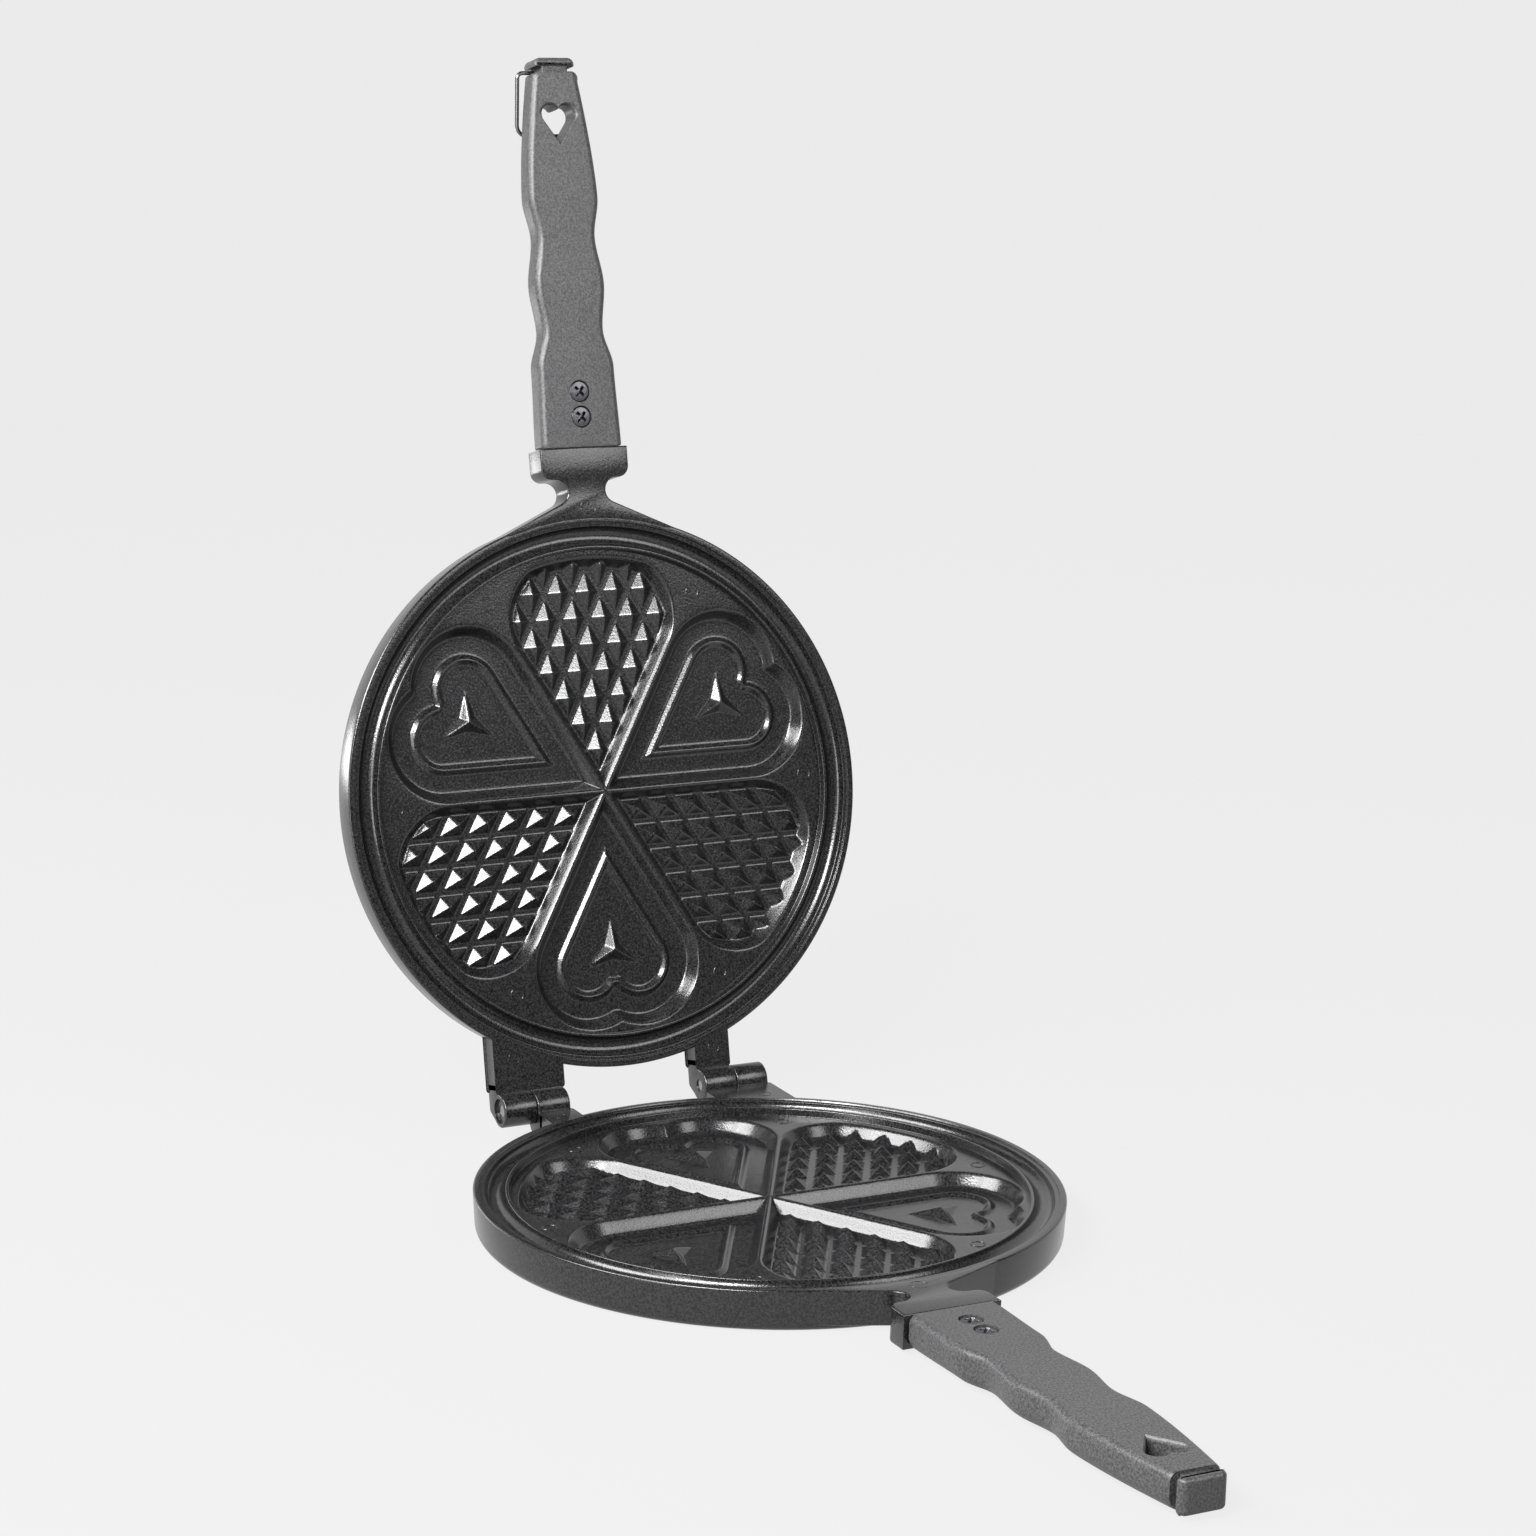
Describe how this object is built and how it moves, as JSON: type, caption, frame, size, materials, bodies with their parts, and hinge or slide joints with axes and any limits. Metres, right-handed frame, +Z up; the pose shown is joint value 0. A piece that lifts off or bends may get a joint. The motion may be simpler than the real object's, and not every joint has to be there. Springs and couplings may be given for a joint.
{
  "type": "stovetop waffle iron",
  "caption": "Round stovetop waffle iron standing open: cast pans with heart-shaped cells on a rear hinge, long dark handles and a wire bail on the lid handle's end.",
  "frame": {"origin": "centre of the lower pan's flat base", "axes": "+Z up from the base, both handles' closed direction is -Y, the hinge is at +Y and its axis runs along X"},
  "size_m": [0.2, 0.4652, 0.3816],
  "materials": {
    "cast": "dark non-stick coating, satin",
    "phenolic": "satin",
    "screw_steel": "blackened",
    "pin_steel": "satin",
    "wire_steel": "bright"
  },
  "bodies": {
    "base": {"lower_pan": "cast", "lower_handle": "phenolic", "lower_inner_screw": "screw_steel", "lower_outer_screw": "screw_steel", "right_hinge_pin": "pin_steel"},
    "lid": {"upper_pan": "cast", "upper_handle": "phenolic", "upper_inner_screw": "screw_steel", "upper_outer_screw": "screw_steel", "left_hinge_pin": "pin_steel"},
    "bail": {"wire_bail": "wire_steel"}
  },
  "joints": [
    {"name": "lid_hinge", "type": "hinge", "parent": "base", "child": "lid", "pos_m": [0, 0.1105, 0.0142], "axis": [1, 0, 0], "range_deg": [0, 102]},
    {"name": "bail_swing", "type": "hinge", "parent": "lid", "child": "bail", "pos_m": [0, 0.19618, 0.37569], "axis": [1, 0, 0], "range_deg": [-1, 272]}
  ]
}
